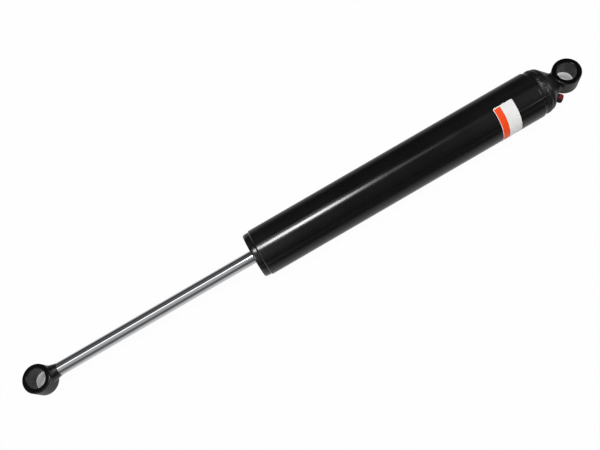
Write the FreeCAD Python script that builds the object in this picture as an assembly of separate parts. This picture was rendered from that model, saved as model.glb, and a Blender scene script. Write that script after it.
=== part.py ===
import FreeCAD, Part
import math
import os

# A gas-charged telescopic damper, lying along X at full length. The origin is the centre of
# the tube's eye. Stations are distances from there towards the rod's eye, so x = -station.
# Lengths are in millimetres, angles in degrees.

# Overall sizes
EYE_TO_EYE = 560.0
STROKE = 180.0
TUBE_OD = 46.0
TUBE_ID = 40.0
ROD_D = 12.4
TENON_D = 10.0

# Gaps: pieces seated in each other, pieces that run in each other, and pieces that stay clear
SEAT = 0.02
RUN = 0.04
CLEAR = 0.3

# Eyes, the same at both ends
EYE_OD = 27.0
EYE_BORE = 18.0
EYE_WIDTH = 19.0
EYE_CHAMFER = 0.6

# Pressure tube, turned down to a neck at the closed end, where it is welded to the end cap
TUBE_START = 30.4
TUBE_END = 329.0
TUBE_CHAMFER = 1.1
NECK_R = 21.3
NECK_END = 36.4
NECK_CHAMFER = 0.8

# End cap: a cylinder, a rounded shoulder, a cone and a nose that is saddled to the eye
CAP_R = 21.3
CONE_ANGLE = 44.0
CONE_TIP = (13.3, 10.0)
SHOULDER_ROUND = 5.0
NOSE_R = 8.6
SPIGOT_LENGTH = 8.0
CAVITY_MOUTH_R = 17.2
CAVITY_FLOOR = (22.5, 6.5)

# Weld beads
CAP_BEAD_WIDTH = 6.4
CAP_BEAD_PEAK = 1.5
CAP_BEAD_ROUND = 6.5
NOSE_WELD_R = 9.5
NOSE_WELD_END = 14.2
NOSE_WELD_HOLLOW = 3.0
ROD_WELD_LENGTH = 5.2
ROD_WELD_FLARE = (2.8, 7.9)
ROD_WELD_R = 8.4
ROD_WELD_ROUND = 4.0

# Charging valve, square to the cone: its place on the cone and its angle about the damper's axis
VALVE_RADIUS = 13.5
VALVE_ANGLE = 198.0
SPOT_FACE_D = 7.4
SPOT_FACE_DEPTH = 0.5
VALVE_SHANK_D = 5.0
VALVE_SHANK_LENGTH = 9.5
VALVE_FLANGE_D = 6.8
VALVE_FLANGE_TOP = 0.7
VALVE_STEM_D = 5.2
VALVE_STEM_TOP = 3.9
VALVE_BORE_D = 3.2
VALVE_GUIDE_D = 1.6
VALVE_GUIDE = (-4.0, -2.0)
PIN_TOP = 3.4
PIN_HEAD_D = 2.4
PIN_HEAD_HEIGHT = 1.1
CAP_D = 8.3
CAP_HEIGHT = (0.45, 5.1)
CAP_ROOF = 0.9
CAP_ROUND = 1.0

# Seal head and end cover
HEAD_START = 288.0
HEAD_END = 314.0
BUSH_OD = 15.0
BUSH_END = 306.0
SEAL_POCKET_D = 21.0
HEAD_SEAL_WIDTH = 3.5
HEAD_SEAL_INNER_R = 17.3
COVER_END = 334.8
COVER_R = 22.0
COVER_TOP_R = 21.5
COVER_ROUND = 1.3
COVER_HOLE_R = 6.8
WIPER_POCKET_D = 19.2
WIPER_START = 330.3
WIPER_LIP = (335.4, 7.2)

# Piston stack on the rod's tenon, from the shoulder to the nut
BUMPER_LENGTH = 8.0
BUMPER_R = 10.5
BUMPER_CHAMFER = 1.7
WASHER_THICKNESS = 3.0
WASHER_R = 12.5
SHIM_RADII = (8.0, 10.6, 13.2)
SHIM_THICKNESS = 0.65
PISTON_LENGTH = 14.0
PISTON_R = 19.6
BAND_WIDTH = 8.6
BAND_GROOVE_R = 17.9
PORT_D = 4.2
PORTS_EACH_WAY = 4
PORT_INLET_R = 16.0
PORT_OUTLET_R = 10.4
NUT_ACROSS_FLATS = 17.0
NUT_HEIGHT = 8.5
TENON_POINT = 1.7

# Floating piston
FLOAT_GAP = 5.0
FLOAT_LENGTH = 16.0
FLOAT_CROWN = 4.5
FLOAT_CUP_R = 15.0
FLOAT_SEAL_PLACE = 6.0
FLOAT_SEAL_WIDTH = 4.2
FLOAT_SEAL_INNER_R = 17.0

# Sizes that follow from those above
TUBE_R = TUBE_OD / 2
BORE_R = TUBE_ID / 2
ROD_R = ROD_D / 2
TENON_R = TENON_D / 2
SHOULDER = HEAD_START - CLEAR - BUMPER_LENGTH
SHIMS_LENGTH = SHIM_THICKNESS * len(SHIM_RADII)
PISTON_TOP = SHOULDER - WASHER_THICKNESS - SHIMS_LENGTH
PISTON_FOOT = PISTON_TOP - PISTON_LENGTH
NUT_TOP = PISTON_FOOT - SHIMS_LENGTH
TENON_END = NUT_TOP - NUT_HEIGHT - TENON_POINT
BAND_FOOT = PISTON_FOOT + (PISTON_LENGTH - BAND_WIDTH) / 2
# The floating piston gives way by the rod's share of the bore, and keeps clear of the tenon
FLOAT_TRAVEL = STROKE * (ROD_D / TUBE_ID) ** 2
FLOAT_END = TENON_END - STROKE + FLOAT_TRAVEL - FLOAT_GAP
FLOAT_START = FLOAT_END - FLOAT_LENGTH
FLOAT_SEAL_START = FLOAT_START + FLOAT_SEAL_PLACE
CONE_SLOPE = math.tan(math.radians(CONE_ANGLE))

ORIGIN = FreeCAD.Vector(0, 0, 0)
DAMPER_AXIS = FreeCAD.Vector(-1, 0, 0)
EYE_AXIS = FreeCAD.Vector(0, 0, 1)


def rounded_corner(before, corner, after, radius):
    """The arc of the given radius that replaces a corner between two straight edges."""
    back = (before - corner).normalize()
    ahead = (after - corner).normalize()
    half = back.getAngle(ahead) / 2
    middle = (back + ahead).normalize()
    reach = radius / math.tan(half)
    depth = radius / math.sin(half) - radius
    return Part.Arc(corner + back * reach, corner + middle * depth, corner + ahead * reach)


def turned(corners, axis=DAMPER_AXIS):
    """A solid of revolution about a line through the origin.

    Each corner is (distance along the axis, radius), with a third value where it is rounded.
    """
    outward = FreeCAD.Vector(0, 1, 0)
    points = [axis * c[0] + outward * c[1] for c in corners]
    starts, ends, arcs = [], [], []
    for i, corner in enumerate(corners):
        start = end = points[i]
        if len(corner) == 3:
            arc = rounded_corner(points[i - 1], points[i], points[(i + 1) % len(points)], corner[2])
            start = arc.StartPoint
            end = arc.EndPoint
            arcs.append(arc.toShape())
        starts.append(start)
        ends.append(end)
    lines = [Part.makeLine(end, start) for end, start in zip(ends, starts[1:] + starts[:1])]
    wire = Part.Wire(Part.__sortEdges__(lines + arcs))
    return Part.Face(wire).revolve(ORIGIN, axis, 360)


def ring(start, end, inner, outer):
    """A plain ring between two stations."""
    return turned([(start, inner), (start, outer), (end, outer), (end, inner)])


def at_rod_end(shape):
    """The shape moved from the tube's eye to the rod's eye."""
    return shape.translated(DAMPER_AXIS * EYE_TO_EYE)


def eye_envelope():
    """The cylinder that the pieces welded to an eye are saddled to."""
    foot = FreeCAD.Vector(0, 0, -TUBE_OD)
    return Part.makeCylinder(EYE_OD / 2 + SEAT, 2 * TUBE_OD, foot, EYE_AXIS)


def cone_radius(station):
    """Radius of the end cap's cone at a station."""
    return CONE_TIP[1] + (station - CONE_TIP[0]) * CONE_SLOPE


def cone_station(radius):
    """Station where the end cap's cone has a radius."""
    return CONE_TIP[0] + (radius - CONE_TIP[1]) / CONE_SLOPE


def on_valve(shape):
    """A shape made upright at the origin, stood on the cone as the charging valve is."""
    angle = math.radians(VALVE_ANGLE)
    lean = math.radians(90 - CONE_ANGLE)
    radial = FreeCAD.Vector(0, math.cos(angle), math.sin(angle))
    direction = FreeCAD.Vector(math.cos(lean), 0, 0) + radial * math.sin(lean)
    foot = DAMPER_AXIS * cone_station(VALVE_RADIUS) + radial * VALVE_RADIUS
    stood = shape.copy()
    stood.Placement = FreeCAD.Placement(foot, FreeCAD.Rotation(EYE_AXIS, direction))
    return stood


def eye():
    """Plain ring with its bore upright and its outer edges chamfered."""
    half = EYE_WIDTH / 2
    outer = EYE_OD / 2
    return turned([
        (-half, EYE_BORE / 2),
        (-half, outer - EYE_CHAMFER),
        (-half + EYE_CHAMFER, outer),
        (half - EYE_CHAMFER, outer),
        (half, outer - EYE_CHAMFER),
        (half, EYE_BORE / 2),
    ], EYE_AXIS)


def pressure_tube():
    """Tube with a neck at its closed end and its rod end chamfered outside."""
    return turned([
        (TUBE_START, BORE_R),
        (TUBE_START, NECK_R),
        (NECK_END, NECK_R),
        (NECK_END, TUBE_R - NECK_CHAMFER),
        (NECK_END + NECK_CHAMFER, TUBE_R),
        (TUBE_END - TUBE_CHAMFER, TUBE_R),
        (TUBE_END, TUBE_R - TUBE_CHAMFER),
        (TUBE_END, BORE_R),
    ])


def end_cap():
    """Closed end: spigot, shoulder, cone, saddled nose, gas cavity and the valve's port."""
    spigot_end = TUBE_START + SPIGOT_LENGTH
    body = turned([
        (0, 0),
        (0, NOSE_R),
        (cone_station(NOSE_R), NOSE_R),
        (cone_station(CAP_R), CAP_R, SHOULDER_ROUND),
        (TUBE_START - SEAT, CAP_R),
        (TUBE_START - SEAT, BORE_R - SEAT),
        (spigot_end, BORE_R - SEAT),
        (spigot_end, CAVITY_MOUTH_R),
        CAVITY_FLOOR,
        (CAVITY_FLOOR[0], 0),
    ])
    depth = FreeCAD.Vector(0, 0, -SPOT_FACE_DEPTH)
    spot_face = Part.makeCylinder(SPOT_FACE_D / 2, CAP_D, depth, EYE_AXIS)
    port_foot = FreeCAD.Vector(0, 0, -2 * VALVE_SHANK_LENGTH)
    port = Part.makeCylinder(VALVE_SHANK_D / 2 + SEAT, 2 * VALVE_SHANK_LENGTH, port_foot, EYE_AXIS)
    return body.cut([eye_envelope(), on_valve(spot_face), on_valve(port)])


def end_cap_weld():
    """Low arched bead over the joint between the tube's neck and the end cap."""
    inner = CAP_R + SEAT
    half = CAP_BEAD_WIDTH / 2
    return turned([
        (TUBE_START - half, inner),
        (TUBE_START, inner + CAP_BEAD_PEAK, CAP_BEAD_ROUND),
        (TUBE_START + half, inner),
    ])


def tube_eye_weld():
    """Hollow fillet round the nose, cut to the eye."""
    inner = NOSE_R + SEAT
    seat = CONE_TIP[0] + SEAT
    collar = turned([
        (0, inner),
        (cone_station(inner) - SEAT, inner),
        (NOSE_WELD_END - SEAT, cone_radius(NOSE_WELD_END)),
        (seat - NOSE_WELD_HOLLOW, NOSE_WELD_R, NOSE_WELD_HOLLOW),
        (0, NOSE_WELD_R),
    ])
    return collar.cut(eye_envelope())


def piston_rod():
    """Rod with a saddled end at the eye, a shoulder, and a tenon with a pointed end."""
    rod = turned([
        (TENON_END, 0),
        (TENON_END, TENON_R - TENON_POINT / 2),
        (TENON_END + TENON_POINT / 2, TENON_R),
        (SHOULDER, TENON_R),
        (SHOULDER, ROD_R),
        (EYE_TO_EYE, ROD_R),
        (EYE_TO_EYE, 0),
    ])
    return rod.cut(at_rod_end(eye_envelope()))


def rod_eye_weld():
    """Bead round the rod's end that flares towards the eye, cut to it."""
    inner = ROD_R + SEAT
    start = EYE_TO_EYE - EYE_OD / 2 - ROD_WELD_LENGTH
    bead = turned([
        (start, inner),
        (start + ROD_WELD_FLARE[0], ROD_WELD_FLARE[1], ROD_WELD_ROUND),
        (EYE_TO_EYE, ROD_WELD_R),
        (EYE_TO_EYE, inner),
    ])
    return bead.cut(at_rod_end(eye_envelope()))


def valve_body():
    """Screwed shank, seating flange and stem, with a guide for the pin half-way down its bore."""
    seat = -SPOT_FACE_DEPTH + SEAT
    shank = VALVE_SHANK_D / 2
    flange = VALVE_FLANGE_D / 2
    stem = VALVE_STEM_D / 2
    bore = VALVE_BORE_D / 2
    guide = VALVE_GUIDE_D / 2
    return on_valve(turned([
        (-VALVE_SHANK_LENGTH, bore),
        (-VALVE_SHANK_LENGTH, shank),
        (seat, shank),
        (seat, flange),
        (VALVE_FLANGE_TOP, flange),
        (VALVE_FLANGE_TOP, stem),
        (VALVE_STEM_TOP, stem),
        (VALVE_STEM_TOP, bore),
        (VALVE_GUIDE[1], bore),
        (VALVE_GUIDE[1], guide),
        (VALVE_GUIDE[0], guide),
        (VALVE_GUIDE[0], bore),
    ], EYE_AXIS))


def valve_pin():
    """Pin whose head closes the guide from the gas side."""
    stem = VALVE_GUIDE_D / 2 - RUN
    head = VALVE_GUIDE[0] - RUN
    return on_valve(turned([
        (head - PIN_HEAD_HEIGHT, 0),
        (head - PIN_HEAD_HEIGHT, PIN_HEAD_D / 2),
        (head, PIN_HEAD_D / 2),
        (head, stem),
        (PIN_TOP, stem),
        (PIN_TOP, 0),
    ], EYE_AXIS))


def valve_cap():
    """Cap over the valve's stem and flange, with a rounded top edge."""
    outer = CAP_D / 2
    inner = VALVE_STEM_D / 2 + RUN
    mouth = VALVE_FLANGE_D / 2 + RUN
    step = VALVE_FLANGE_TOP + CLEAR
    foot, top = CAP_HEIGHT
    return on_valve(turned([
        (foot, mouth),
        (foot, outer),
        (top, outer, CAP_ROUND),
        (top, 0),
        (top - CAP_ROOF, 0),
        (top - CAP_ROOF, inner),
        (step, inner),
        (step, mouth),
    ], EYE_AXIS))


def seal_head():
    """Rod guide with a bush seat, a seal pocket and a step for its seal ring."""
    step = HEAD_END - HEAD_SEAL_WIDTH
    bush = BUSH_OD / 2
    return turned([
        (HEAD_START, bush),
        (HEAD_START, BORE_R - SEAT),
        (step, BORE_R - SEAT),
        (step, HEAD_SEAL_INNER_R),
        (HEAD_END, HEAD_SEAL_INNER_R),
        (HEAD_END, SEAL_POCKET_D / 2),
        (BUSH_END, SEAL_POCKET_D / 2),
        (BUSH_END, bush),
    ])


def seal_head_seal():
    """Square-cut ring on the seal head's step."""
    start = HEAD_END - HEAD_SEAL_WIDTH + SEAT
    return ring(start, HEAD_END, HEAD_SEAL_INNER_R + SEAT, BORE_R - SEAT)


def guide_bush():
    """Lined bush that the rod runs in."""
    return ring(HEAD_START, BUSH_END, ROD_R + RUN, BUSH_OD / 2 - SEAT)


def rod_seal():
    """Seal in the seal head's pocket, notched on the oil side to part its two lips."""
    inner = ROD_R + RUN
    outer = SEAL_POCKET_D / 2 - SEAT
    start = BUSH_END + SEAT
    notch = (outer - inner) / 4
    return turned([
        (start, inner),
        (start, inner + notch),
        (start + 2 * notch, (inner + outer) / 2),
        (start, outer - notch),
        (start, outer),
        (HEAD_END, outer),
        (HEAD_END, inner),
    ])


def end_cover():
    """Flanged cover screwed into the tube, with a pocket for the wiper."""
    return turned([
        (HEAD_END + SEAT, COVER_HOLE_R),
        (HEAD_END + SEAT, BORE_R - SEAT),
        (TUBE_END + SEAT, BORE_R - SEAT),
        (TUBE_END + SEAT, COVER_R),
        (COVER_END, COVER_TOP_R, COVER_ROUND),
        (COVER_END, WIPER_POCKET_D / 2),
        (WIPER_START, WIPER_POCKET_D / 2),
        (WIPER_START, COVER_HOLE_R),
    ])


def dust_wiper():
    """Wiper with a lip that stands out of the end cover."""
    inner = ROD_R + RUN
    outer = WIPER_POCKET_D / 2 - SEAT
    return turned([
        (WIPER_START + SEAT, inner),
        (WIPER_START + SEAT, outer),
        (COVER_END, outer),
        WIPER_LIP,
        (WIPER_LIP[0], inner),
    ])


def rebound_bumper():
    """Rubber ring that the seal head meets at full length."""
    inner = ROD_R + SEAT
    top = SHOULDER + BUMPER_LENGTH
    return turned([
        (SHOULDER + SEAT, inner),
        (SHOULDER + SEAT, BUMPER_R),
        (top - BUMPER_CHAMFER, BUMPER_R),
        (top, BUMPER_R - BUMPER_CHAMFER),
        (top, inner),
    ])


def backing_washer():
    """Washer clamped on the rod's shoulder."""
    return ring(SHOULDER - WASHER_THICKNESS, SHOULDER, TENON_R + SEAT, WASHER_R)


def shims(piston_face, away):
    """Stack of spring discs, the widest on the piston's face, getting smaller away from it."""
    inner = TENON_R + SEAT
    corners = [(piston_face, inner)]
    for i, radius in enumerate(reversed(SHIM_RADII)):
        corners.append((piston_face + away * i * SHIM_THICKNESS, radius))
        corners.append((piston_face + away * (i + 1) * SHIM_THICKNESS, radius))
    corners.append((piston_face + away * SHIMS_LENGTH, inner))
    return turned(corners)


def port(angle, top_radius, foot_radius):
    """A slanted hole between two radii on the piston's two faces."""
    radial = FreeCAD.Vector(0, math.cos(math.radians(angle)), math.sin(math.radians(angle)))
    foot = DAMPER_AXIS * PISTON_FOOT + radial * foot_radius
    along = DAMPER_AXIS * PISTON_LENGTH + radial * (top_radius - foot_radius)
    return Part.makeCylinder(PORT_D / 2, 2 * along.Length, foot - along * 0.5, along)


def piston():
    """Piston with a groove for its band and ports that slant in and out in turn."""
    body = turned([
        (PISTON_FOOT, TENON_R + SEAT),
        (PISTON_FOOT, PISTON_R),
        (BAND_FOOT, PISTON_R),
        (BAND_FOOT, BAND_GROOVE_R),
        (BAND_FOOT + BAND_WIDTH, BAND_GROOVE_R),
        (BAND_FOOT + BAND_WIDTH, PISTON_R),
        (PISTON_TOP, PISTON_R),
        (PISTON_TOP, TENON_R + SEAT),
    ])
    pitch = 360 / PORTS_EACH_WAY
    compression = [port(i * pitch, PORT_OUTLET_R, PORT_INLET_R) for i in range(PORTS_EACH_WAY)]
    rebound = [port((i + 0.5) * pitch, PORT_INLET_R, PORT_OUTLET_R) for i in range(PORTS_EACH_WAY)]
    return body.cut(compression + rebound)


def piston_band():
    """Slippery band in the piston's groove."""
    end = BAND_FOOT + BAND_WIDTH - RUN
    return ring(BAND_FOOT + RUN, end, BAND_GROOVE_R + RUN, BORE_R - RUN)


def piston_nut():
    """Hexagon nut that clamps the stack."""
    corner_r = NUT_ACROSS_FLATS / math.sqrt(3)
    foot = DAMPER_AXIS * (NUT_TOP - NUT_HEIGHT)
    angles = [math.radians(a) for a in range(0, 361, 60)]
    corners = [FreeCAD.Vector(0, math.cos(a), math.sin(a)) * corner_r for a in angles]
    hexagon = Part.makePolygon([foot + corner for corner in corners])
    prism = Part.Face(hexagon).extrude(DAMPER_AXIS * NUT_HEIGHT)
    hole = Part.makeCylinder(TENON_R + SEAT, NUT_HEIGHT, foot, DAMPER_AXIS)
    return prism.cut(hole)


def floating_piston():
    """Cup, open towards the gas, with a groove for its seal ring."""
    outer = BORE_R - 2 * RUN
    seal_end = FLOAT_SEAL_START + FLOAT_SEAL_WIDTH
    return turned([
        (FLOAT_START, FLOAT_CUP_R),
        (FLOAT_START, outer),
        (FLOAT_SEAL_START, outer),
        (FLOAT_SEAL_START, FLOAT_SEAL_INNER_R),
        (seal_end, FLOAT_SEAL_INNER_R),
        (seal_end, outer),
        (FLOAT_END, outer),
        (FLOAT_END, 0),
        (FLOAT_END - FLOAT_CROWN, 0),
        (FLOAT_END - FLOAT_CROWN, FLOAT_CUP_R),
    ])


def floating_piston_seal():
    """Square-cut ring in the floating piston's groove."""
    end = FLOAT_SEAL_START + FLOAT_SEAL_WIDTH - SEAT
    return ring(FLOAT_SEAL_START + SEAT, end, FLOAT_SEAL_INNER_R + SEAT, BORE_R - RUN)


PIECES = {
    "pressure_tube": pressure_tube(),
    "end_cap": end_cap(),
    "end_cap_weld": end_cap_weld(),
    "tube_eye": eye(),
    "tube_eye_weld": tube_eye_weld(),
    "valve_body": valve_body(),
    "valve_pin": valve_pin(),
    "valve_cap": valve_cap(),
    "seal_head": seal_head(),
    "seal_head_seal": seal_head_seal(),
    "guide_bush": guide_bush(),
    "rod_seal": rod_seal(),
    "end_cover": end_cover(),
    "dust_wiper": dust_wiper(),
    "floating_piston": floating_piston(),
    "floating_piston_seal": floating_piston_seal(),
    "piston_band": piston_band(),
    "piston_rod": piston_rod(),
    "rod_eye": at_rod_end(eye()),
    "rod_eye_weld": rod_eye_weld(),
    "rebound_bumper": rebound_bumper(),
    "backing_washer": backing_washer(),
    "compression_shims": shims(PISTON_TOP, 1),
    "piston": piston(),
    "rebound_shims": shims(PISTON_FOOT, -1),
    "piston_nut": piston_nut(),
}

os.makedirs("parts", exist_ok=True)
for name, shape in PIECES.items():
    shape.exportStep(f"parts/{name}.step")
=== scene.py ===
import math

import bmesh
import bpy
import mathutils
import numpy as np
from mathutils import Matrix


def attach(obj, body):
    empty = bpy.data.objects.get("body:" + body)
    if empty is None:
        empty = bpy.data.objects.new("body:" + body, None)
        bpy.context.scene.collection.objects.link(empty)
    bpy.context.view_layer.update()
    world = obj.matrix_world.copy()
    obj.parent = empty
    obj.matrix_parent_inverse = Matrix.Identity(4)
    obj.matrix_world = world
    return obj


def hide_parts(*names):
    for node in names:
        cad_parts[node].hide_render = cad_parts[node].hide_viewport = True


# A gas-charged shock absorber lying on a pale floor. Stations are millimetres from the centre of
# the tube's eye towards the rod's eye, so x = -station. Angles run from +Y towards +Z. The pieces
# are in millimetres and the room is in metres.

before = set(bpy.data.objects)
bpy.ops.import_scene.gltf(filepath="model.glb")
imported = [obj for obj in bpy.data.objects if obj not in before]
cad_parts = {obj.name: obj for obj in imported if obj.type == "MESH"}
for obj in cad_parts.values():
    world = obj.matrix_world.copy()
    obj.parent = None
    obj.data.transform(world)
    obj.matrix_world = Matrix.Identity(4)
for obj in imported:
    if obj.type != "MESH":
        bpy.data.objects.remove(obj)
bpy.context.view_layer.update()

MM = 0.001
GAP = 0.02  # left between two pieces, so that their faces never coincide
SAME_POINT = 1e-8  # in metres: points closer than this become one
NO_LENGTH = 1e-9  # in metres: edges shorter than this go
SHARP_EDGE = math.radians(35)

EYE_TO_EYE = 560.0
EYE_R = 13.5
EYE_BORE_R = 9.0
EYE_HALF_WIDTH = 9.5
EYE_EDGE = 0.9
EYE_BORE_EDGE = 0.7

TUBE_START = 30.4
TUBE_END = 329.0
TUBE_SKIN_R = 22.9
TUBE_CHAMFER = 1.1
NECK_R = 21.3
NECK_END = 36.4
BORE_R = 20.0

CAP_R = 21.3
CAP_SHOULDER = 5.0
CONE_TIP = (13.3, 10.0)
CONE_ANGLE = math.radians(44)
NOSE_R = 8.6
SPIGOT_END = 38.4
CAVITY_MOUTH_R = 17.2
CAVITY_FLOOR = (22.5, 6.5)

CAP_BEAD = (27.25, 33.55)
CAP_BEAD_HEIGHT = 0.8
CAP_BEAD_TOE = 0.01
CAP_BEAD_LUMPS = 0.11
RIPPLES = 58
RIPPLE_BOW = 5.0
RIPPLE_HEIGHT = 0.05
NOSE_WELD_END = 14.2
NOSE_WELD_TOE_R = 9.7
NOSE_WELD_THROAT_R = 8.9
NOSE_WELD_THROAT = 0.8
NOSE_WELD_FOOT = 0.1
NOSE_WELD_LUMPS = 0.16
ROD_WELD_START = 540.4
ROD_WELD_R = 8.35
ROD_WELD_TOE = 0.03
ROD_WELD_LUMPS = 0.06
ROD_WELD_HOLLOW = 1.5

ROD_R = 6.2
TENON_R = 5.0
TENON_END = 248.6
TENON_POINT = 0.85
ROD_SHOULDER = 279.7

COVER_START = 314.02
COVER_END = 334.8
COVER_R = 22.0
COVER_TOP_R = 21.3
COVER_SHOULDER = 2.4
COVER_HOLE_R = 6.8
WIPER_POCKET_R = 9.6
WIPER_START = 330.3
WIPER_FACE = 334.5
WIPER_FACE_R = 8.2
WIPER_LIP_END = 335.4
WIPER_LIP_R = 6.9

# Charging valve: heights are above the cone, along the valve's own axis
VALVE_RADIUS = 13.5
VALVE_ANGLE = math.radians(198)
HOLE_BOTTOM = -19.0
HOLE_TOP = 8.0
SEAT = -0.5
SEAT_R = 3.7
SHANK_BOTTOM = -9.5
SHANK_R = 2.5
FLANGE_TOP = 0.7
FLANGE_R = 3.4
FLANGE_FILM = 0.02
STEM_R = 2.6
STEM_TOP = 3.9
STEM_TOP_R = 2.5
VALVE_BORE_R = 1.6
PIN_GUIDE = (-4.0, -2.0)
PIN_GUIDE_R = 0.8
THREAD = (0.8, 3.8)
THREAD_PITCH = 0.5
THREAD_HALF_DEPTH = 0.12
THREAD_RUN_OUT = 0.3

# Red cap on the valve
RED_CAP = (0.45, 5.1)
RED_CAP_R = 4.15
RED_CAP_ROOF = 4.2
RED_CAP_STEP = 1.0
RED_CAP_PLAY = 0.04
GRIP_RIBS = 24
GRIP_HALF_DEPTH = 0.1
GRIP_START_R = (3.6, 4.0)
GRIP_END = (4.0, 4.6)

STICKER = (62.3, 82.1)
STICKER_ANGLES = (92.0, 212.0)
STICKER_CORNER = 1.0
STICKER_FILM = 0.055
STICKER_GUM = 0.03
ORANGE_BAND = (75.1, 81.6)
ORANGE_MARGIN = 1.9


# Shapes

def cone_radius(station):
    """Radius of the end cap's cone: it grows in a straight line from its tip."""
    return CONE_TIP[1] + (station - CONE_TIP[0]) * math.tan(CONE_ANGLE)


def cone_station(radius):
    """Station where the end cap's cone has a radius."""
    return CONE_TIP[0] + (radius - CONE_TIP[1]) / math.tan(CONE_ANGLE)


def turn(count):
    """Evenly spaced angles of one full turn, as a row; the last closes on the first."""
    return np.linspace(0, 2 * np.pi, count, endpoint=False)[None, :]


def outline(*corners, steps=6, hold=0.12):
    """Closed outline through corners (along, out, rounding), each rounded corner an arc, as a
    column of places along and a column of places out.

    With a and b the arc's end radii and w its sweep, the arc is
    centre + (sin((1 - t) w) a + sin(t w) b) / sin(w). A point is held a little way along the
    run on each side of an arc, so that flat runs shade flat.
    """
    corner = np.array([c[:2] for c in corners], float)
    radius = np.array([c[2] if len(c) == 3 else 0.0 for c in corners])[:, None]
    back = np.roll(corner, 1, 0) - corner
    ahead = np.roll(corner, -1, 0) - corner
    back /= np.linalg.norm(back, axis=1, keepdims=True)
    ahead /= np.linalg.norm(ahead, axis=1, keepdims=True)
    middle = back + ahead
    middle /= np.linalg.norm(middle, axis=1, keepdims=True)
    half = np.arccos(np.clip((back * ahead).sum(1, keepdims=True), -1, 1)) / 2
    reach = radius / np.tan(half)
    centre = (corner + middle * radius / np.sin(half))[:, None]
    first = (corner + back * reach)[:, None]
    last = (corner + ahead * reach)[:, None]
    sweep = (np.pi - 2 * half)[:, None]
    t = np.linspace(0, 1, steps)[None, :, None]
    swing = np.sin((1 - t) * sweep) * (first - centre) + np.sin(t * sweep) * (last - centre)
    arc = centre + swing / np.sin(sweep)
    held = np.where(radius > 0, hold, 0.0)[:, None]
    points = [first + back[:, None] * held, arc, last + ahead[:, None] * held]
    points = np.concatenate(points, 1).reshape(-1, 2)
    return points[:, :1], points[:, 1:]


def about_damper(station, radius, angle):
    """Points at a station, a radius and an angle about the damper's axis."""
    s, r, a = np.broadcast_arrays(station, radius, angle)
    return np.stack([-s, r * np.cos(a), r * np.sin(a)], -1)


def about_eye(height, radius, angle, eye_station):
    """Points at a height, a radius and an angle about an eye's upright axis."""
    h, r, a = np.broadcast_arrays(height, radius, angle)
    return np.stack([r * np.cos(a) - eye_station, r * np.sin(a), h], -1)


def valve_axes():
    """Foot of the valve on the cone, its axis square to the cone, and two directions across it: the
    first round the damper, the second down the cone's slope."""
    radial = np.array([0, math.cos(VALVE_ANGLE), math.sin(VALVE_ANGLE)])
    axis = np.array([math.sin(CONE_ANGLE), 0, 0]) + radial * math.cos(CONE_ANGLE)
    across = np.cross(axis, radial) / np.linalg.norm(np.cross(axis, radial))
    foot = np.array([-cone_station(VALVE_RADIUS), 0, 0]) + radial * VALVE_RADIUS
    return foot, axis, across, np.cross(axis, across)


def about_valve(height, radius, angle):
    """Points at a height above the cone, a radius and an angle about the valve's axis."""
    foot, axis, across, down = valve_axes()
    h, r, a = (v[..., None] for v in np.broadcast_arrays(height, radius, angle))
    return foot + h * axis + r * np.cos(a) * across + r * np.sin(a) * down


def saddle(radius, angle):
    """Distance from an eye's centre to its outer wall, at a radius and angle about the damper's
    axis: the root of the wall's radius squared less the sideways reach squared."""
    return np.sqrt((EYE_R + GAP) ** 2 - (radius * np.cos(angle)) ** 2)


def lumps(angle, along, seed, rounds, runs=3.0, count=14):
    """Sum of sine waves with whole numbers of rounds about the axis, so that it closes on itself,
    and random runs along it; about one at its highest."""
    rng = np.random.default_rng(seed)
    n = rng.integers(*rounds, count)[:, None, None]
    m = rng.uniform(-runs, runs, count)[:, None, None]
    phase = rng.uniform(0, 2 * np.pi, count)[:, None, None]
    waves = np.sin(n * angle[None] + m * along[None] + phase)
    return waves.sum(0) / math.sqrt(2 * count)


def piece(name, points, material, body=None, node=None, wrap=(True, True)):
    """A closed mesh through a grid of points in millimetres.

    Neighbours on the grid make the faces, the grid closes on itself where wrap says, and points
    that fall together, at seams and poles, become one.
    """
    rows, columns = points.shape[:2]
    index = np.arange(rows * columns).reshape(rows, columns)
    index = np.concatenate([index, index[:1]]) if wrap[0] else index
    index = np.concatenate([index, index[:, :1]], 1) if wrap[1] else index
    faces = np.stack([index[:-1, :-1], index[1:, :-1], index[1:, 1:], index[:-1, 1:]], -1)
    mesh = bpy.data.meshes.new(name)
    mesh.from_pydata((points.reshape(-1, 3) * MM).tolist(), [], faces.reshape(-1, 4).tolist())
    shell = bmesh.new()
    shell.from_mesh(mesh)
    bmesh.ops.remove_doubles(shell, verts=shell.verts, dist=SAME_POINT)
    bmesh.ops.dissolve_degenerate(shell, edges=shell.edges, dist=NO_LENGTH)
    bmesh.ops.recalc_face_normals(shell, faces=shell.faces)
    shell.to_mesh(mesh)
    shell.free()
    mesh.shade_smooth()
    mesh.set_sharp_from_angle(angle=SHARP_EDGE)
    mesh.materials.append(material)
    made = bpy.data.objects.new(name, mesh)
    bpy.context.scene.collection.objects.link(made)
    if body:
        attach(made, body)
    if node:
        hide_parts(node)
    return made


def carve(whole, cutter):
    """Takes the cutter's space out of a piece and deletes the cutter; the cut's edges stay
    sharp."""
    cut = whole.modifiers.new("cut", "BOOLEAN")
    cut.object = cutter
    cut.solver = "EXACT"
    graph = bpy.context.evaluated_depsgraph_get()
    carved = bpy.data.meshes.new_from_object(whole.evaluated_get(graph))
    whole.modifiers.remove(cut)
    old = whole.data
    whole.data = carved
    carved.name = whole.name
    bpy.data.meshes.remove(old)
    bpy.data.objects.remove(cutter)
    carved.set_sharp_from_angle(angle=SHARP_EDGE)


# Finishes. A noise's scale is one over the size of its pattern in millimetres.

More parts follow.
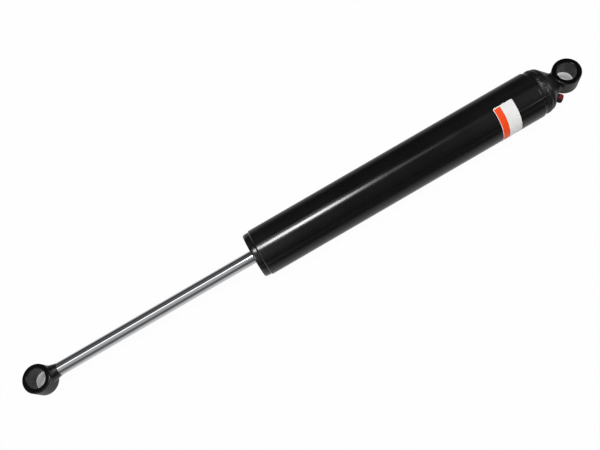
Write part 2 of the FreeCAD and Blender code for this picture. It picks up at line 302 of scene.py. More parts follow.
def linear(code):
    """Linear colour of an sRGB hex value."""
    channels = [int(code[i:i + 2], 16) / 255 for i in (1, 3, 5)]
    return [c / 12.92 if c <= 0.04045 else ((c + 0.055) / 1.055) ** 2.4 for c in channels] + [1.0]


def plug(tree, node, inputs):
    """Fills a node's inputs: one that is given a socket is linked to it, one that is given a node
    is linked to the first output of it that is in use, and any other is set."""
    for key, value in inputs.items():
        if isinstance(value, bpy.types.Node):
            value = next(output for output in value.outputs if output.enabled)
        if isinstance(value, bpy.types.NodeSocket):
            tree.links.new(value, node.inputs[key])
        else:
            node.inputs[key].default_value = value


def add(tree, kind, inputs=None, stops=(), **settings):
    """Adds a node with its settings and inputs. Stops are the places and grey levels of a ramp."""
    made = tree.nodes.new(kind)
    for place, _ in stops[2:]:
        made.color_ramp.elements.new(place)
    for i, (place, level) in enumerate(stops):
        made.color_ramp.elements[i].position = place
        made.color_ramp.elements[i].color = (level, level, level, 1)
    for key, value in settings.items():
        setattr(made, key, value)
    plug(tree, made, inputs or {})
    return made


def finish(name):
    """A new material: its node tree, its shader and the piece's own coordinates in millimetres."""
    material = bpy.data.materials.new(name)
    material.use_nodes = True
    tree = material.node_tree
    place = add(tree, "ShaderNodeTexCoord").outputs["Object"]
    mm = add(tree, "ShaderNodeMapping", {"Vector": place, "Scale": (1 / MM, 1 / MM, 1 / MM)})
    return material, tree, tree.nodes["Principled BSDF"], mm


def sprayed_enamel(name, rough_from, rough_to, ior):
    """Stoving enamel sprayed on steel: near black, with a thin hard highlight that the orange peel
    of the spray makes a little uneven, and faint handling haze. On a forging it is duller."""
    material, tree, shader, mm = finish(name)
    haze = add(tree, "ShaderNodeTexNoise", {"Vector": mm, "Scale": 1 / 35, "Detail": 4})
    peel = add(tree, "ShaderNodeTexNoise", {"Vector": mm, "Scale": 1 / 3.5, "Detail": 2})
    sag = add(tree, "ShaderNodeTexNoise", {"Vector": mm, "Scale": 1 / 28, "Detail": 1})
    colour = add(tree, "ShaderNodeMix", {
        "Factor": haze, "A": linear("#101010"), "B": linear("#181717")}, data_type="RGBA")
    rough = add(tree, "ShaderNodeMapRange", {
        "Value": haze, "From Min": 0.3, "From Max": 0.7, "To Min": rough_from, "To Max": rough_to})
    waves = add(tree, "ShaderNodeBump", {"Height": sag, "Distance": 0.08 * MM})
    skin = add(tree, "ShaderNodeBump", {"Height": peel, "Distance": 0.012 * MM, "Normal": waves})
    plug(tree, shader, {"Base Color": colour, "Roughness": rough, "Normal": skin, "IOR": ior})
    return material


def dipped_enamel():
    """Thin enamel that the rings were dipped in: it runs level and glossy on the two flat faces and
    stays duller on the upright walls, by the height from the ring's middle."""
    material, tree, shader, mm = finish("dipped_black_enamel")
    place = add(tree, "ShaderNodeSeparateXYZ", {"Vector": mm}).outputs
    height = add(tree, "ShaderNodeMath", {0: place["Z"]}, operation="ABSOLUTE")
    rough = add(tree, "ShaderNodeMapRange", {
        "Value": height, "From Min": EYE_HALF_WIDTH - 0.8, "From Max": EYE_HALF_WIDTH - 0.1,
        "To Min": 0.36, "To Max": 0.14})
    runs = add(tree, "ShaderNodeTexNoise", {"Vector": mm, "Scale": 1 / 3.5, "Detail": 3})
    colour = add(tree, "ShaderNodeMix", {
        "Factor": runs, "A": linear("#050505"), "B": linear("#0a0a0a")}, data_type="RGBA")
    skin = add(tree, "ShaderNodeBump", {"Height": runs, "Distance": 0.05 * MM})
    plug(tree, shader, {"Base Color": colour, "Roughness": rough, "Normal": skin, "IOR": 1.35})
    return material


def weld_enamel():
    """The same enamel over a weld: it fills the pits and ripples unevenly, so the bead has a soft
    sheen that is broken up."""
    material, tree, shader, mm = finish("weld_enamel")
    grit = add(tree, "ShaderNodeTexNoise", {"Vector": mm, "Scale": 1 / 1.1, "Detail": 5})
    pits = add(tree, "ShaderNodeTexVoronoi", {"Vector": mm, "Scale": 1 / 1.4})
    colour = add(tree, "ShaderNodeMix", {
        "Factor": grit, "A": linear("#080808"), "B": linear("#101010")}, data_type="RGBA")
    rough = add(tree, "ShaderNodeMapRange", {
        "Value": grit, "From Min": 0.3, "From Max": 0.7, "To Min": 0.26, "To Max": 0.4})
    coarse = add(tree, "ShaderNodeBump", {"Height": pits, "Distance": 0.12 * MM})
    fine = add(tree, "ShaderNodeBump", {"Height": grit, "Distance": 0.09 * MM, "Normal": coarse})
    plug(tree, shader, {"Base Color": colour, "Roughness": rough, "Normal": fine})
    return material


def hard_chrome():
    """Hard chrome on a ground rod: a bright mirror with fine lines round the rod from grinding. The
    lines are drawn about 1 mm apart, coarser than real ones, so that they show."""
    material, tree, shader, mm = finish("hard_chrome")
    along = add(tree, "ShaderNodeMapping", {"Vector": mm, "Scale": (1, 0.02, 0.02)})
    lines = add(tree, "ShaderNodeTexNoise", {"Vector": along, "Scale": 1 / 0.9, "Detail": 3})
    rough = add(tree, "ShaderNodeMapRange", {
        "Value": lines, "From Min": 0.3, "From Max": 0.7, "To Min": 0.04, "To Max": 0.1})
    colour = add(tree, "ShaderNodeMix", {
        "Factor": lines, "A": linear("#babbbe"), "B": linear("#cdced1")}, data_type="RGBA")
    ground = add(tree, "ShaderNodeBump", {"Height": lines, "Distance": 0.01 * MM})
    plug(tree, shader, {
        "Base Color": colour, "Roughness": rough, "Normal": ground, "Metallic": 1.0})
    return material


def red_moulded_plastic():
    """Moulded polythene: deep red, waxy, with a faint mottle. Painted shade darkens the side
    towards the tube's shoulder nearly black and makes it dull, with an uneven edge that the mottle
    makes."""
    # where the painted shade starts towards the tube's shoulder, how far it blends in, and how much
    # duller it is
    painted_shade_start, painted_shade_blend, painted_shade_rough = 1.4, 0.9, 0.3
    material, tree, shader, mm = finish("red_moulded_plastic")
    mottle = add(tree, "ShaderNodeTexNoise", {"Vector": mm, "Scale": 1 / 1.5, "Detail": 3})
    foot, _, _, down = valve_axes()
    start = -foot @ down + painted_shade_start
    to_shoulder = add(tree, "ShaderNodeVectorMath", {0: mm, 1: tuple(-down)},
                      operation="DOT_PRODUCT")
    uneven = add(tree, "ShaderNodeMath", {0: mottle, 1: to_shoulder}, operation="ADD")
    # painted shade: the side towards the tube's shoulder is darkened nearly black
    painted_shade = add(tree, "ShaderNodeMapRange", {
        "Value": uneven, "From Min": start, "From Max": start + painted_shade_blend},
        interpolation_type="SMOOTHSTEP")
    red = add(tree, "ShaderNodeMix", {
        "Factor": mottle, "A": linear("#6c0f19"), "B": linear("#7a131e")}, data_type="RGBA")
    colour = add(tree, "ShaderNodeMix", {"Factor": painted_shade, "A": red, "B": linear("#250a0e")},
                 data_type="RGBA")
    rough = add(tree, "ShaderNodeMapRange", {"Value": mottle, "To Min": 0.3, "To Max": 0.45})
    rough = add(tree, "ShaderNodeMath", {0: painted_shade, 1: painted_shade_rough, 2: rough},
                operation="MULTIPLY_ADD")
    skin = add(tree, "ShaderNodeBump", {"Height": mottle, "Strength": 0.5, "Distance": 0.03 * MM})
    plug(tree, shader, {
        "Base Color": colour, "Roughness": rough, "Normal": skin, "Specular IOR Level": 0.3})
    return material


def printed_film():
    """Glossy white sticker film with an orange band printed round it: the band's place is read
    from the station, with a white margin left at its upper end, and the ink is a little uneven."""
    material, tree, shader, mm = finish("printed_film")
    place = add(tree, "ShaderNodeSeparateXYZ", {"Vector": mm}).outputs
    band = add(tree, "ShaderNodeMath", {0: place["X"], 1: -ORANGE_BAND[0]}, operation="LESS_THAN")
    for axis, limit, test in (("X", -ORANGE_BAND[1], "GREATER_THAN"),
                              ("Y", -ORANGE_MARGIN, "LESS_THAN")):
        inside = add(tree, "ShaderNodeMath", {0: place[axis], 1: limit}, operation=test)
        band = add(tree, "ShaderNodeMath", {0: band, 1: inside}, operation="MULTIPLY")
    ink = add(tree, "ShaderNodeTexNoise", {"Vector": mm, "Scale": 1 / 2, "Detail": 3})
    white = add(tree, "ShaderNodeMix", {
        "Factor": ink, "A": linear("#efeeec"), "B": linear("#f5f4f2")}, data_type="RGBA")
    orange = add(tree, "ShaderNodeMix", {
        "Factor": ink, "A": linear("#fb4815"), "B": linear("#ff541b")}, data_type="RGBA")
    colour = add(tree, "ShaderNodeMix", {"Factor": band, "A": white, "B": orange},
                 data_type="RGBA")
    rough = add(tree, "ShaderNodeMapRange", {"Value": ink, "To Min": 0.28, "To Max": 0.4})
    skin = add(tree, "ShaderNodeBump", {"Height": ink, "Strength": 0.4, "Distance": 0.02 * MM})
    plug(tree, shader, {
        "Base Color": colour, "Roughness": rough, "Normal": skin, "Specular IOR Level": 0.3})
    return material


def turned_metal(name, dark, light, rough_from, rough_to):
    """Metal left as the lathe made it: fine lines round the damper's axis, so the shine is broken
    into bands, and a little tarnish. The lines are drawn 0.6 mm apart so that they show."""
    material, tree, shader, mm = finish(name)
    along = add(tree, "ShaderNodeMapping", {"Vector": mm, "Scale": (1, 0.05, 0.05)})
    lines = add(tree, "ShaderNodeTexNoise", {"Vector": along, "Scale": 1 / 0.6, "Detail": 2})
    tarnish = add(tree, "ShaderNodeTexNoise", {"Vector": mm, "Scale": 1 / 6, "Detail": 4})
    colour = add(tree, "ShaderNodeMix", {
        "Factor": tarnish, "A": linear(dark), "B": linear(light)}, data_type="RGBA")
    rough = add(tree, "ShaderNodeMapRange", {
        "Value": lines, "To Min": rough_from, "To Max": rough_to})
    cut = add(tree, "ShaderNodeBump", {"Height": lines, "Strength": 0.6, "Distance": 0.02 * MM})
    plug(tree, shader, {"Base Color": colour, "Roughness": rough, "Normal": cut, "Metallic": 1.0})
    return material


def seal_material(name, dark, light, rough_from, rough_to):
    """Moulded seal, rubber or filled plastic: dull, with a fine cloudy surface and no highlight."""
    material, tree, shader, mm = finish(name)
    cloud = add(tree, "ShaderNodeTexNoise", {"Vector": mm, "Scale": 1 / 1.2, "Detail": 4})
    colour = add(tree, "ShaderNodeMix", {
        "Factor": cloud, "A": linear(dark), "B": linear(light)}, data_type="RGBA")
    rough = add(tree, "ShaderNodeMapRange", {
        "Value": cloud, "To Min": rough_from, "To Max": rough_to})
    skin = add(tree, "ShaderNodeBump", {"Height": cloud, "Strength": 0.5, "Distance": 0.03 * MM})
    plug(tree, shader, {"Base Color": colour, "Roughness": rough, "Normal": skin})
    return material


ENAMEL = sprayed_enamel("gloss_black_enamel", 0.1, 0.17, 1.5)
FORGED_ENAMEL = sprayed_enamel("forged_black_enamel", 0.3, 0.42, 1.36)
EYE_ENAMEL = dipped_enamel()
WELD = weld_enamel()
CHROME = hard_chrome()
RED_PLASTIC = red_moulded_plastic()
FILM = printed_film()
BRASS = turned_metal("turned_brass", "#b08a3c", "#d9b964", 0.2, 0.35)
ALUMINIUM = turned_metal("turned_aluminium", "#a9abad", "#c9cbcc", 0.25, 0.42)
STEEL = turned_metal("ground_steel", "#7c7d7f", "#9c9d9e", 0.22, 0.4)
BRONZE = turned_metal("sintered_bronze", "#8c5f34", "#b07d48", 0.35, 0.5)
RUBBER = seal_material("nitrile_rubber", "#101011", "#1d1d1e", 0.5, 0.7)
PTFE = seal_material("bronze_filled_ptfe", "#5a4636", "#6e5743", 0.4, 0.55)


# Pieces

def eye(name, station, node, body):
    """Ring: a square section with rounded edges carried round the eye's upright axis."""
    h = EYE_HALF_WIDTH
    section = outline((-h, EYE_BORE_R, EYE_BORE_EDGE), (-h, EYE_R, EYE_EDGE),
                      (h, EYE_R, EYE_EDGE), (h, EYE_BORE_R, EYE_BORE_EDGE))
    points = about_eye(*section, turn(128), station)
    piece(name, points, EYE_ENAMEL, body, node)


def pressure_tube():
    """Tube: its wall's section, with the neck at the closed end, carried round the damper's
    axis."""
    wall = outline(
        (TUBE_START, BORE_R, 0.2), (TUBE_START, NECK_R, 0.2), (NECK_END, NECK_R, 0.3),
        (NECK_END, TUBE_SKIN_R, 0.8), (TUBE_END - TUBE_CHAMFER, TUBE_SKIN_R, 0.5),
        (TUBE_END, TUBE_SKIN_R - TUBE_CHAMFER, 0.2), (TUBE_END, BORE_R, 0.2))
    points = about_damper(*wall, turn(192))
    piece("painted_tube", points, ENAMEL, "tube", "pressure_tube")


def end_cap():
    """End cap: gas cavity, spigot, shoulder and cone carried round the damper's axis; the nose ends
    on the eye's wall, where the station is the wall's distance from the eye's centre. The valve's
    hole is cut by a stepped pin carried round the valve's axis."""
    angle = turn(192)
    along, out = outline(
        (CAVITY_FLOOR[0], 0), CAVITY_FLOOR, (SPIGOT_END, CAVITY_MOUTH_R),
        (SPIGOT_END, BORE_R - GAP), (TUBE_START - GAP, BORE_R - GAP), (TUBE_START - GAP, CAP_R),
        (cone_station(CAP_R), CAP_R, CAP_SHOULDER), (cone_station(NOSE_R), NOSE_R))
    nose = np.linspace(NOSE_R, 0, 12)[:, None]
    radius = np.concatenate([out, nose])
    station = np.concatenate([along + 0 * angle, saddle(nose, angle)])
    cap = piece("painted_end_cap", about_damper(station, radius, angle), FORGED_ENAMEL,
                "tube", "end_cap", wrap=(False, True))
    hole = outline(
        (HOLE_BOTTOM, 0), (HOLE_BOTTOM, SHANK_R + GAP), (SEAT, SHANK_R + GAP), (SEAT, SEAT_R),
        (HOLE_TOP, SEAT_R), (HOLE_TOP, 0))
    cutter = piece("valve_hole", about_valve(*hole, turn(64)), FORGED_ENAMEL, wrap=(False, True))
    carve(cap, cutter)


def end_cap_weld():
    """Bead: a parabola across the seam, with overlapping ripples whose phase runs with the square
    of the place across the bead, and random lumps, all fading out at its two toes."""
    angle = turn(720)
    t = np.linspace(0, 1, 28)[:, None]
    station = CAP_BEAD[0] + (CAP_BEAD[1] - CAP_BEAD[0]) * t
    arch = 1 - (2 * t - 1) ** 2
    ripple = np.sin(RIPPLES * angle + RIPPLE_BOW * (2 * t - 1) ** 2)
    lump = lumps(angle, 6 * t, seed=3, rounds=(8, 110))
    rough = RIPPLE_HEIGHT * ripple + CAP_BEAD_LUMPS * lump
    inner = np.full_like(angle, CAP_R + GAP)
    radius = inner + CAP_BEAD_TOE + CAP_BEAD_HEIGHT * arch + np.sqrt(arch) * rough
    radius = np.concatenate([np.maximum(radius, inner + CAP_BEAD_TOE), inner, inner])
    station = np.concatenate([station, station[-1:], station[:1]])
    piece("end_cap_weld_bead", about_damper(station, radius, angle), WELD,
          "tube", "end_cap_weld")


def tube_eye_weld():
    """Hollow fillet from the cone to the eye's wall: at each angle a curve of the second degree
    with its middle point near the neck, and random lumps."""
    angle = turn(240)
    t = np.linspace(0, 1, 20)[:, None]
    first, second, third = (1 - t) ** 2, 2 * t * (1 - t), t ** 2
    reach = saddle(NOSE_WELD_TOE_R, angle)
    station = first * NOSE_WELD_END + second * (reach + NOSE_WELD_THROAT) + third * reach
    radius = (first * cone_radius(NOSE_WELD_END) + second * NOSE_WELD_THROAT_R
              + third * NOSE_WELD_TOE_R)
    lump = lumps(angle, 4 * t, seed=5, rounds=(5, 40))
    radius = radius + NOSE_WELD_LUMPS * lump * np.sin(np.pi * t)
    inner = np.full_like(angle, NOSE_R + GAP)
    foot = np.full_like(angle, cone_station(NOSE_R) + NOSE_WELD_FOOT)
    station = np.concatenate([station, saddle(inner, angle), foot])
    radius = np.concatenate([radius, inner, inner])
    piece("tube_eye_weld_fillet", about_damper(station, radius, angle), WELD,
          "tube", "tube_eye_weld")


def rod_eye_weld():
    """Hollow fillet between rod and eye: at each angle the station runs to the eye's wall and the
    radius grows from the rod's with a power of the way run, with random lumps that fade out at
    both ends."""
    angle = turn(240)
    t = np.linspace(0, 1, 28)[:, None]
    reach = EYE_TO_EYE - saddle(ROD_WELD_R, angle)
    station = ROD_WELD_START + (reach - ROD_WELD_START) * t
    inner = np.full_like(angle, ROD_R + GAP)
    radius = inner + ROD_WELD_TOE + (ROD_WELD_R - ROD_R) * t ** ROD_WELD_HOLLOW
    lump = lumps(angle, 5 * t, seed=7, rounds=(3, 30))
    radius = radius + ROD_WELD_LUMPS * lump * np.sin(np.pi * t)
    start = np.full_like(angle, ROD_WELD_START)
    station = np.concatenate([station, EYE_TO_EYE - saddle(inner, angle), start])
    radius = np.concatenate([radius, inner, inner])
    piece("rod_eye_weld_bead", about_damper(station, radius, angle), WELD,
          "rod", "rod_eye_weld")


def piston_rod():
    """Rod: pointed tenon, shoulder and shank carried round the damper's axis, ending on the eye's
    wall."""
    angle = turn(128)
    along, out = outline(
        (TENON_END, 0), (TENON_END, TENON_R - TENON_POINT), (TENON_END + TENON_POINT, TENON_R),
        (ROD_SHOULDER, TENON_R), (ROD_SHOULDER, ROD_R, 0.3), (EYE_TO_EYE - EYE_R, ROD_R))
    end = np.linspace(ROD_R, 0, 10)[:, None]
    radius = np.concatenate([out, end])
    station = np.concatenate([along + 0 * angle, EYE_TO_EYE - saddle(end, angle)])
    piece("chromed_rod", about_damper(station, radius, angle), CHROME,
          "rod", "piston_rod", wrap=(False, True))


def end_cover():
    """Cover: skirt inside the tube, flange with a rounded edge and a pocket for the wiper, carried
    round the damper's axis."""
    section = outline(
        (COVER_START, COVER_HOLE_R), (COVER_START, BORE_R - GAP), (TUBE_END + GAP, BORE_R - GAP),
        (TUBE_END + GAP, COVER_R, 0.25), (COVER_END - COVER_SHOULDER, COVER_R, 4.0),
        (COVER_END, COVER_TOP_R, 0.8), (COVER_END, WIPER_POCKET_R, 0.3),
        (WIPER_START, WIPER_POCKET_R), (WIPER_START, COVER_HOLE_R))
    points = about_damper(*section, turn(192))
    piece("painted_end_cover", points, ENAMEL, "tube", "end_cover")


def dust_wiper():
    """Wiper: a lip that leans on the rod, carried round the damper's axis."""
    inner, outer = ROD_R + 2 * GAP, WIPER_POCKET_R - GAP
    section = outline(
        (WIPER_START + GAP, inner, 0.2), (WIPER_START + GAP, outer, 0.2),
        (WIPER_FACE, outer, 0.3), (WIPER_FACE, WIPER_FACE_R, 0.3),
        (WIPER_LIP_END, WIPER_LIP_R, 0.25), (WIPER_LIP_END, inner, 0.1))
    points = about_damper(*section, turn(128))
    piece("rubber_dust_wiper", points, RUBBER, "tube", "dust_wiper")


def valve_body():
    """Valve: shank, flange and stem carried round the valve's axis; the stem's screw thread is a
    wave in the radius that runs on by one pitch for each turn and fades out at both ends."""
    angle = turn(96)
    lower = outline(
        (SHANK_BOTTOM, VALVE_BORE_R), (SHANK_BOTTOM, SHANK_R), (SEAT + GAP, SHANK_R),
        (SEAT + GAP, FLANGE_R), (FLANGE_TOP, FLANGE_R, 0.2), (FLANGE_TOP, STEM_R))
    height = np.linspace(*THREAD, 72)[:, None]
    to_end = np.minimum(height - THREAD[0], THREAD[1] - height)
    wave = 1 - np.cos(2 * np.pi * (height - THREAD[0]) / THREAD_PITCH - angle)
    thread = STEM_R - THREAD_HALF_DEPTH * wave * np.clip(to_end / THREAD_RUN_OUT, 0, 1)
    upper = outline(
        (STEM_TOP, STEM_TOP_R), (STEM_TOP, VALVE_BORE_R), (PIN_GUIDE[1], VALVE_BORE_R),
        (PIN_GUIDE[1], PIN_GUIDE_R), (PIN_GUIDE[0], PIN_GUIDE_R), (PIN_GUIDE[0], VALVE_BORE_R),
        (SHANK_BOTTOM + 0.1, VALVE_BORE_R))
    heights = np.concatenate([lower[0], height, upper[0]]) + 0 * angle
    radii = np.concatenate([lower[1] + 0 * angle, thread, upper[1] + 0 * angle])
    piece("brass_valve_body", about_valve(heights, radii, angle), BRASS,
          "tube", "valve_body")


def flange_paint():
    """Film of enamel on the valve's flange, which was sprayed with the end cap: a thin step carried
    round the valve's axis."""
    bottom, top = SEAT + 2 * GAP, FLANGE_TOP + FLANGE_FILM
    inner, outer = STEM_R + GAP, FLANGE_R + FLANGE_FILM
    section = outline((bottom, FLANGE_R), (bottom, outer), (top, outer, 0.1), (top, inner),
                      (FLANGE_TOP, inner), (FLANGE_TOP, FLANGE_R))
    points = about_valve(*section, turn(96))
    piece("painted_valve_flange", points, ENAMEL, "tube")


def valve_cap():
    """Cap: a cup carried round the valve's axis, its side waved into grip ribs that fade out
    towards the rounded top."""
    angle = turn(192)
    stem, flange = STEM_R + RED_CAP_PLAY, FLANGE_R + RED_CAP_PLAY
    along, out = outline(
        (RED_CAP_ROOF, 0), (RED_CAP_ROOF, stem), (RED_CAP_STEP, stem), (RED_CAP_STEP, flange),
        (RED_CAP[0], flange), (RED_CAP[0], RED_CAP_R, 0.15), (RED_CAP[1], RED_CAP_R, 1.0),
        (RED_CAP[1], 0))
    side = np.interp(out, GRIP_START_R, (0, 1)) * np.interp(along, GRIP_END, (1, 0))
    radius = out - GRIP_HALF_DEPTH * side * (1 - np.cos(GRIP_RIBS * angle))
    piece("red_valve_cap", about_valve(along, radius, angle), RED_PLASTIC,
          "valve_cap", "valve_cap", wrap=(False, True))


def sticker():
    """Thin film bent round the tube: station and angle run over a rectangle with rounded corners,
    out on its face and back on its gummed side, which meet at both ends."""
    half = (STICKER[1] - STICKER[0]) / 2
    low, high = np.radians(STICKER_ANGLES)
    angle = np.linspace(low, high, 121)[None, :]
    to_end = np.minimum(angle - low, high - angle) * TUBE_SKIN_R
    inset = np.clip(STICKER_CORNER - to_end, 0, STICKER_CORNER)
    width = half - STICKER_CORNER + np.sqrt(STICKER_CORNER ** 2 - inset ** 2)
    across = np.linspace(-1, 1, 31)[:, None]
    station = (STICKER[0] + STICKER[1]) / 2 + np.concatenate([across, across[::-1]]) * width
    lift = STICKER_FILM * np.sqrt(np.clip(1 - (inset / STICKER_CORNER) ** 8, 0, 1))
    radius = TUBE_SKIN_R + np.concatenate(
        [0 * across + lift, 0 * across - STICKER_GUM * (lift > 0)])
    piece("printed_sticker", about_damper(station, radius, angle), FILM,
          "tube", wrap=(True, False))


eye("painted_tube_eye", 0.0, "tube_eye", "tube")
eye("painted_rod_eye", EYE_TO_EYE, "rod_eye", "rod")
pressure_tube()
end_cap()
end_cap_weld()
tube_eye_weld()
rod_eye_weld()
piston_rod()
end_cover()
dust_wiper()
valve_body()
flange_paint()
valve_cap()
sticker()

# The pieces inside keep their shapes and get the finish of their material
INNER = {
    ALUMINIUM: ("seal_head", "floating_piston"),
    STEEL: ("backing_washer", "compression_shims", "piston", "rebound_shims", "piston_nut"),
    BRASS: ("valve_pin",),
    BRONZE: ("guide_bush",),
    RUBBER: ("seal_head_seal", "rod_seal", "floating_piston_seal", "rebound_bumper"),
    PTFE: ("piston_band",),
}
for material, names in INNER.items():
    for name in names:
        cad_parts[name].data.materials.clear()
        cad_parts[name].data.materials.append(material)


# Room

FLOOR_LEVEL = -0.02305
FLOOR_REACH = 4.0
FLOOR_WHITE = 0.97  # share of plain white in the floor that the eye sees
BACKDROP_WHITE = 0.976  # the same level as the floor, so that the two meet without an edge
OPEN_SKY, COVERED_SKY, SKY_REACH = 0.99, 0.88, 0.04
STRIP_LENGTH = 1.2

# Where the floor keeps its full shadow when something stands over it, under the tube's eye, the
# rod's eye and the tube: the middle (x, y), half the length along X, the distances over which it
# clears, and how much the paper's colour is darkened there as painted shadow
SHADOWS = (
    (0.007, 0.007, 0.0, 0.0075, 0.0135, 0.0),
    (-0.567, 0.007, 0.0, 0.0075, 0.0135, 0.22),
    (-0.1775, 0.0075, 0.1335, 0.01, 0.024, 0.0),
)


def floor_glow(tree, place):
    """What shiny surfaces see of the floor: a lit strip along the object, dark further off, where
    the room is dark. It is twice as wide and brighter beside the rod, and dimmer by the rod's
    eye."""
    spot = add(tree, "ShaderNodeSeparateXYZ", {"Vector": place}).outputs
    narrow = add(tree, "ShaderNodeMapRange", {
        "Value": spot["X"], "From Min": -0.36, "From Max": -0.32, "To Min": 0.5, "To Max": 1.0})
    off = add(tree, "ShaderNodeMath", {0: spot["Y"], 1: narrow}, operation="MULTIPLY")
    across = add(tree, "ShaderNodeMapRange", {"Value": off, "From Min": -0.4, "From Max": 0.3})
    strip = add(tree, "ShaderNodeValToRGB", {"Fac": across}, stops=[
        (0.0, 0.0), (0.286, 0.05), (0.386, 0.15), (0.457, 0.42), (0.5, 0.58), (0.557, 0.62),
        (0.621, 0.5), (0.664, 0.42), (0.714, 0.3), (0.857, 0.14), (1.0, 0.1)])
    gain = add(tree, "ShaderNodeMath", {0: narrow, 1: -0.8, 2: 1.8}, operation="MULTIPLY_ADD")
    by_rod_eye = add(tree, "ShaderNodeMapRange", {
        "Value": spot["X"], "From Min": -0.59, "From Max": -0.53, "To Min": 0.66, "To Max": 1.0})
    gain = add(tree, "ShaderNodeMath", {0: gain, 1: by_rod_eye}, operation="MULTIPLY")
    return add(tree, "ShaderNodeVectorMath", {0: strip, "Scale": gain}, operation="SCALE")


def pale_floor():
    """Pale paper floor. The eye sees it mostly as plain white, with a little of the object's
    shadow left in, and all of it in the places that SHADOWS gives, where something stands over
    them; under the rod's eye the paper's colour is darkened as well, a painted shadow. Shiny
    surfaces see the floor's glow. For other rays it is paper."""
    material = bpy.data.materials.new("pale_paper_floor")
    material.use_nodes = True
    tree = material.node_tree
    tree.nodes.clear()
    place = add(tree, "ShaderNodeTexCoord").outputs["Object"]
    path = add(tree, "ShaderNodeLightPath").outputs
    glow = floor_glow(tree, place)
    level = add(tree, "ShaderNodeMix", {
        "Factor": path["Is Glossy Ray"], "A": (1, 1, 1, 1), "B": glow}, data_type="RGBA")
    white = add(tree, "ShaderNodeEmission", {"Color": level})
    seen = path["Is Camera Ray"]
    for ray in ("Is Glossy Ray", "Is Transmission Ray"):
        seen = add(tree, "ShaderNodeMath", {0: seen, 1: path[ray]}, operation="MAXIMUM")
    share = add(tree, "ShaderNodeMath", {0: seen, 1: FLOOR_WHITE}, operation="MULTIPLY")

    fibre = add(tree, "ShaderNodeTexNoise", {"Vector": place, "Scale": 400, "Detail": 2})
    tone = add(tree, "ShaderNodeMix", {
        "Factor": fibre, "A": linear("#e6e6e6"), "B": linear("#ebebeb")}, data_type="RGBA")
    sky = add(tree, "ShaderNodeAmbientOcclusion", {"Distance": SKY_REACH}, samples=16)
    covered = add(tree, "ShaderNodeMapRange", {
        "Value": sky.outputs["AO"], "From Min": OPEN_SKY, "From Max": COVERED_SKY},
        interpolation_type="SMOOTHSTEP")
    for x, y, half, inner, outer, painted_shadow in SHADOWS:
        past = add(tree, "ShaderNodeVectorMath", {0: place, 1: (-x, -y, -FLOOR_LEVEL)})
        past = add(tree, "ShaderNodeVectorMath", {0: past}, operation="ABSOLUTE")
        past = add(tree, "ShaderNodeVectorMath", {0: past, 1: (-half, 0, 0)})
        past = add(tree, "ShaderNodeVectorMath", {0: past, 1: (0, 0, 0)}, operation="MAXIMUM")
        away = add(tree, "ShaderNodeVectorMath", {0: past}, operation="LENGTH")
        near = add(tree, "ShaderNodeMapRange", {
            "Value": away, "From Min": outer, "From Max": inner}, interpolation_type="SMOOTHSTEP")
        kept = add(tree, "ShaderNodeMath", {0: near, 1: covered}, operation="MULTIPLY")
        clear = add(tree, "ShaderNodeMath", {0: 1.0, 1: kept}, operation="SUBTRACT")
        share = add(tree, "ShaderNodeMath", {0: share, 1: clear}, operation="MULTIPLY")
        # painted shadow: the paper's colour is darkened where something stands over it, by the last
        # column of SHADOWS
        shade = add(tree, "ShaderNodeMath", {0: kept, 1: -painted_shadow, 2: 1.0},
                    operation="MULTIPLY_ADD")
        tone = add(tree, "ShaderNodeVectorMath", {0: tone, "Scale": shade}, operation="SCALE")
    paper = add(tree, "ShaderNodeBsdfDiffuse", {"Color": tone})
    mixed = add(tree, "ShaderNodeMixShader", {0: share, 1: paper, 2: white})
    add(tree, "ShaderNodeOutputMaterial", {"Surface": mixed})
    side = np.array([-FLOOR_REACH, FLOOR_REACH])
    ground = np.stack(np.broadcast_arrays(side[:, None], side[None, :], FLOOR_LEVEL), -1)
    piece("floor", ground / MM, material, wrap=(False, False))


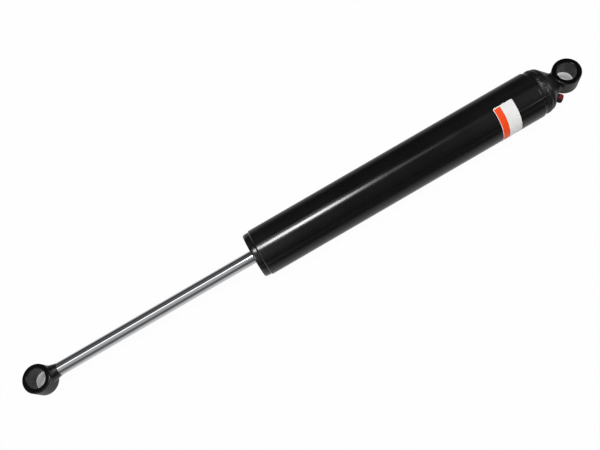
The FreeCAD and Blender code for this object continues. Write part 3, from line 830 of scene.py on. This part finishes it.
def studio_world():
    """Soft room: a dim ceiling with dark screens on both long sides, by the cosine of the
    direction's angle from +Y, looking along the damper. A dark cloth hangs over the tube, by the
    direction's slope along the damper. The eye sees plain white."""
    world = bpy.data.worlds.new("studio")
    bpy.context.scene.world = world
    world.use_nodes = True
    tree = world.node_tree
    tree.nodes.clear()
    way = add(tree, "ShaderNodeTexCoord").outputs["Generated"]
    parts = add(tree, "ShaderNodeSeparateXYZ", {"Vector": way}).outputs
    flat = add(tree, "ShaderNodeVectorMath", {0: way, 1: (0, 1, 1)}, operation="MULTIPLY")
    reach = add(tree, "ShaderNodeVectorMath", {0: flat}, operation="LENGTH")
    cosine = add(tree, "ShaderNodeMath", {0: parts["Y"], 1: reach}, operation="DIVIDE")
    slope = add(tree, "ShaderNodeMath", {0: parts["X"], 1: reach}, operation="DIVIDE")
    across = add(tree, "ShaderNodeMapRange", {"Value": cosine, "From Min": -1, "From Max": 1})
    along = add(tree, "ShaderNodeMapRange", {"Value": slope, "From Min": -1, "From Max": 1})
    ceiling = add(tree, "ShaderNodeValToRGB", {"Fac": across}, stops=[
        (0.0, 0.4), (0.01, 0.3), (0.02, 0.05), (0.04, 0.05), (0.06, 0.2), (0.1, 0.28),
        (0.13, 0.36), (0.18, 0.55), (0.41, 0.7), (0.58, 0.5), (0.63, 0.08), (0.7, 0.08),
        (0.82, 0.2), (0.94, 0.08), (1.0, 0.08)])
    cloth = add(tree, "ShaderNodeValToRGB", {"Fac": along}, stops=[
        (0.0, 1.0), (0.46, 1.0), (0.48, 0.5), (0.5, 0.35), (0.55, 0.12), (0.62, 0.12),
        (0.665, 0.2), (0.71, 0.5), (0.75, 0.7), (1.0, 0.7)])
    colour = add(tree, "ShaderNodeMix", {"Factor": 1.0, "A": ceiling, "B": cloth},
                 data_type="RGBA", blend_type="MULTIPLY")
    room = add(tree, "ShaderNodeBackground", {"Color": colour})
    white = add(tree, "ShaderNodeBackground", {"Color": (*[BACKDROP_WHITE] * 3, 1)})
    seen = add(tree, "ShaderNodeLightPath").outputs["Is Camera Ray"]
    mixed = add(tree, "ShaderNodeMixShader", {0: seen, 1: room, 2: white})
    add(tree, "ShaderNodeOutputWorld", {"Surface": mixed})


def lamp(name, place, aim, size, level):
    """Soft rectangular lamp at a place, square to the line to its aim and level along X; each point
    of it gives off the given level of light."""
    light = bpy.data.lights.new(name, "AREA")
    light.shape = "RECTANGLE"
    light.size, light.size_y = size
    light.energy = level * math.pi * size[0] * size[1]
    back = (np.array(place) - aim) / np.linalg.norm(np.array(place) - aim)
    right = np.array([back[2], 0, -back[0]]) / math.hypot(back[0], back[2])
    turned = np.stack([right, np.cross(back, right), back], 1)
    stand = bpy.data.objects.new(name, light)
    stand.rotation_euler = mathutils.Matrix(turned.tolist()).to_euler()
    stand.location = place
    bpy.context.scene.collection.objects.link(stand)
    return light


def strip_lamp(name, place, width, level):
    """Lamp over the tube; its reflection is a line along it. Towards the closed end it fades out
    over its length."""
    middle, half = place[0], STRIP_LENGTH / 2
    light = lamp(name, place, (middle, 0, 0), (STRIP_LENGTH, width), level)
    light.use_nodes = True
    tree = light.node_tree
    spot = add(tree, "ShaderNodeNewGeometry").outputs["Position"]
    x = add(tree, "ShaderNodeSeparateXYZ", {"Vector": spot}).outputs["X"]
    along = add(tree, "ShaderNodeMapRange", {
        "Value": x, "From Min": middle - half, "From Max": middle + half})
    fade = add(tree, "ShaderNodeValToRGB", {"Fac": along}, stops=[
        (0.02, 0.0), (0.06, 1.0), (0.32, 1.0), (0.37, 0.44), (0.447, 0.12), (0.517, 0.039),
        (0.592, 0.039), (0.664, 0.029), (0.735, 0.0135), (0.78, 0.002), (1.0, 0.0)])
    plug(tree, tree.nodes["Emission"], {"Color": fade})


def camera():
    """Looks down on the damper from the front, as the photograph does."""
    lens = bpy.data.cameras.new("camera")
    lens.sensor_width = 36.0
    lens.lens = 43.299
    lens.clip_start = 0.01
    stand = bpy.data.objects.new("camera", lens)
    stand.location = (-0.29855, -0.21857, 0.62999)
    stand.rotation_euler = [math.radians(a) for a in (17.5797, 8.5509, -28.9766)]
    bpy.context.scene.collection.objects.link(stand)
    bpy.context.scene.camera = stand


pale_floor()
studio_world()
# The bright line along the tube and the glow beside it, the light on the rod, the thin line on the
# tube's edge by the closed end, and soft light on the two ends
strip_lamp("strip_lamp", (0.1, 0.07, 2.0), 0.4, 25)
strip_lamp("glow_lamp", (0.1, 0.16, 2.02), 1.1, 1.3)
lamp("rod_lamp", (-1.02, 0.21, 2.0), (-1.02, 0, 0), (1.15, 0.54), 1.65)
lamp("edge_lamp", (0.775, -1.705, 1.045), (-0.05, 0, 0), (0.14, 0.08), 2.8)
lamp("left_lamp", (-2.1, -0.75, 1.6), (-0.28, 0, 0), (1.0, 1.0), 3.2)
lamp("right_lamp", (1.55, -0.75, 1.6), (-0.28, 0, 0), (1.0, 1.0), 5.0)
camera()
bpy.context.scene.view_settings.view_transform = "Standard"
